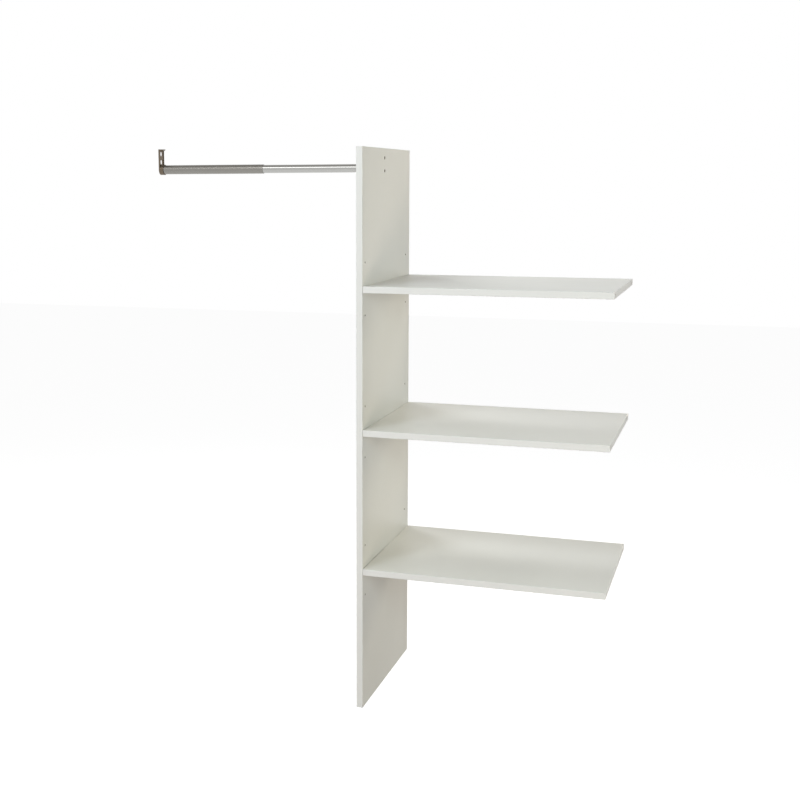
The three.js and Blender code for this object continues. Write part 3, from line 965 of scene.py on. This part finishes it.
def lamp(name, turn, rise, size, power, shade, mirrored):
    """Makes a soft lamp that looks at the closet.

    It stands so many degrees left of the closet's front and above its middle. Only a mirrored
    one shows in metal.
    """
    data = bpy.data.lights.new(name, "AREA")
    data.shape = "RECTANGLE"
    data.size, data.size_y = size
    data.energy = power
    data.color = shade
    made = linked(name, data)
    turn = math.radians(turn)
    rise = math.radians(rise)
    level = math.cos(rise)
    away = Vector((-math.sin(turn) * level, -math.cos(turn) * level, math.sin(rise)))
    target = Vector((0.1, -0.2, 0))
    distance = 3.3
    made.location = target + distance * away
    made.rotation_euler = (-away).to_track_quat("-Z", "Y").to_euler()
    made.visible_camera = False
    made.visible_glossy = mirrored


def stage_lamps():
    """Makes nine lamps, each with its turn, rise, size, power and colour."""
    lamps = (
        ("strip", 13, 43, (2.2, 0.8), 14, (1, 1, 1)),
        ("key", 25, 35, (0.8, 0.8), 32, (0.84, 0.92, 1)),
        ("high_left", 60, 58, (1, 1), 19.5, (0.98, 1, 0.94)),
        ("low_front", 10, -12, (1, 1), 30, (1, 0.94, 0.92)),
        ("right", -45, 12, (1, 1), 26.5, (0.86, 0.99, 1)),
        ("low_right", -50, -12, (1, 1), 24, (1, 0.83, 0.66)),
        ("rear_left", 135, 42, (1, 1), 34, (0.93, 0.95, 1)),
        ("rear_low", -165, 15, (1, 1), 58, (1, 0.91, 0.73)),
        ("rear_right", -135, 42, (1, 1), 14, (1, 0.97, 0.95)),
    )
    for name, turn, rise, size, power, shade in lamps:
        lamp(name, turn, rise, size, power, shade, mirrored=name == "strip")


def stage_camera(settings):
    """Makes the photograph's camera, with the small shift that its framing needs."""
    point = Vector((0.8971, -3.2636, 0.6103))
    yaw = math.radians(18.68)
    dip = math.radians(8.69)
    roll = math.radians(-0.22)
    data = bpy.data.cameras.new("camera")
    data.sensor_width = 36
    data.lens = settings.lens
    data.shift_x = 0.0814
    data.shift_y = -0.0325
    made = linked("camera", data)
    ahead = Vector(
        (-math.sin(yaw) * math.cos(dip), math.cos(yaw) * math.cos(dip), -math.sin(dip))
    )
    level = Vector((math.cos(yaw), math.sin(yaw), 0))
    upright = level.cross(ahead)
    right = level * math.cos(roll) + upright * math.sin(roll)
    up = upright * math.cos(roll) - level * math.sin(roll)
    turn = Matrix((right, up, -ahead)).transposed().to_4x4()
    made.matrix_world = Matrix.Translation(point) @ turn
    bpy.context.scene.camera = made


class ClosetMakeStage(bpy.types.Operator):
    """Makes the floor, the surroundings, the lamps and the camera"""

    bl_idname = "closet.make_stage"
    bl_label = "Stage"

    def execute(self, context):
        settings = context.scene.closet_stage
        context.scene.view_settings.view_transform = "Standard"
        stage_floor(settings)
        stage_world(settings)
        stage_lamps()
        stage_camera(settings)
        return {"FINISHED"}


class ClosetWorkbench(bpy.types.Panel):
    """Lists the closet's pieces and the settings that they are made from"""

    bl_idname = "CLOSET_PT_workbench"
    bl_label = "Closet system"
    bl_space_type = "VIEW_3D"
    bl_region_type = "UI"
    bl_category = "Closet"

    def draw(self, context):
        layout = self.layout
        for operator in OPERATORS:
            layout.operator(operator.bl_idname)
        for name in SETTINGS:
            group = getattr(context.scene, name)
            column = layout.column()
            for key in group.__annotations__:
                column.prop(group, key)


SETTINGS = {
    "closet_boards": ClosetBoardSettings,
    "closet_rail": ClosetRailSettings,
    "closet_fittings": ClosetFittingSettings,
    "closet_stage": ClosetStageSettings,
}
OPERATORS = (
    ClosetMakeStage,
    ClosetMakePanels,
    ClosetMakeEdging,
    ClosetMakeTubes,
    ClosetMakeBrackets,
    ClosetMakeAngles,
    ClosetMakeScrews,
    ClosetMakeCams,
)


def register():
    for name, group in SETTINGS.items():
        bpy.utils.register_class(group)
        setattr(bpy.types.Scene, name, bpy.props.PointerProperty(type=group))
    for kind in (*OPERATORS, ClosetWorkbench):
        bpy.utils.register_class(kind)


def unregister():
    for kind in reversed((*OPERATORS, ClosetWorkbench)):
        bpy.utils.unregister_class(kind)
    for name, group in SETTINGS.items():
        delattr(bpy.types.Scene, name)
        bpy.utils.unregister_class(group)


def main():
    register()
    for operator in OPERATORS:
        family, name = operator.bl_idname.split(".")
        getattr(getattr(bpy.ops, family), name)()


if __name__ == "__main__":
    main()
